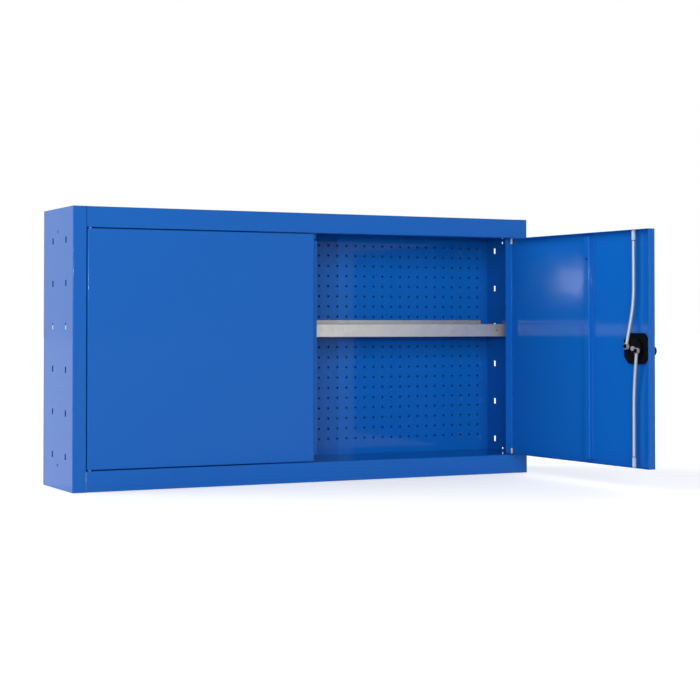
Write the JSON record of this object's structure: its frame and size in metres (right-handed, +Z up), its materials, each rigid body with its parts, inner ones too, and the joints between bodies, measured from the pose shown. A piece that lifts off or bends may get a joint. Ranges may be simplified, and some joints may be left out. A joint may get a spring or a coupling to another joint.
{
  "type": "wall cabinet",
  "caption": "Shallow wall cabinet of folded steel sheet with hinged doors, a perforated back for hooks, a galvanised shelf and a handle that drives locking rods.",
  "frame": {"origin": "centre of the cabinet's base", "axes": "+X across the front, +Y to the wall, +Z up"},
  "size_m": [0.9462, 0.6065, 0.5],
  "materials": {
    "blue_enamel": "satin",
    "galvanised": "satin",
    "zinc_steel": "satin",
    "black_plastic": "matte",
    "black_steel": "satin",
    "pale_plastic": "matte",
    "bright_plug": "polished"
  },
  "bodies": {
    "carcass": {"left_side": "blue_enamel", "right_side": "blue_enamel", "top_panel": "blue_enamel", "bottom_panel": "blue_enamel", "perforated_back": "blue_enamel", "rear_panel": "blue_enamel", "shelf": "galvanised", "left_shelf_bracket": "galvanised", "right_shelf_bracket": "galvanised", "door_stop": "blue_enamel"},
    "left_door": {"left_door_panel": "blue_enamel", "left_door_stiffener": "blue_enamel", "closing_strip": "blue_enamel", "left_hinge_pins": "zinc_steel"},
    "right_door": {"right_door_panel": "blue_enamel", "right_door_stiffener": "blue_enamel", "right_hinge_pins": "zinc_steel", "lock_plate": "black_plastic", "handle_rosette": "black_plastic"},
    "lock": {"handle_grip": "black_plastic", "lock_spindle": "zinc_steel", "lock_cam": "black_steel", "cam_pins": "black_steel", "cam_nut": "zinc_steel"},
    "key_plug": {"key_plug": "bright_plug"},
    "upper_rod": {"upper_rod": "zinc_steel", "upper_rod_tip": "pale_plastic"},
    "lower_rod": {"lower_rod": "zinc_steel", "lower_rod_tip": "pale_plastic"}
  },
  "joints": [
    {"name": "left_door_swing", "type": "hinge", "parent": "carcass", "child": "left_door", "pos_m": [-0.4325, -0.085, 0.25], "axis": [0, 0, -1], "range_deg": [0, 110]},
    {"name": "right_door_swing", "type": "hinge", "parent": "carcass", "child": "right_door", "pos_m": [0.4325, -0.085, 0.25], "axis": [0, 0, 1], "range_deg": [-93, 17]},
    {"name": "handle_turn", "type": "hinge", "parent": "right_door", "child": "lock", "pos_m": [0.45759, -0.46821, 0.25], "axis": [0.9986, 0.0523, 0], "range_deg": [0, 90]},
    {"name": "key_turn", "type": "hinge", "parent": "lock", "child": "key_plug", "pos_m": [0.47996, -0.46704, 0.25], "axis": [0.9986, 0.0523, 0], "range_deg": [0, 90]},
    {"name": "upper_rod_swing", "type": "hinge", "parent": "lock", "child": "upper_rod", "pos_m": [0.44185, -0.45453, 0.25388], "axis": [0.9986, 0.0523, 0], "range_deg": [-96, 0]},
    {"name": "lower_rod_swing", "type": "hinge", "parent": "lock", "child": "lower_rod", "pos_m": [0.44337, -0.48347, 0.24612], "axis": [0.9986, 0.0523, 0], "range_deg": [-96, 0]}
  ],
  "couplings": [
    {"joint": "upper_rod_swing", "follows": "handle_turn", "ratio": -1.0594},
    {"joint": "lower_rod_swing", "follows": "handle_turn", "ratio": -1.0594}
  ]
}
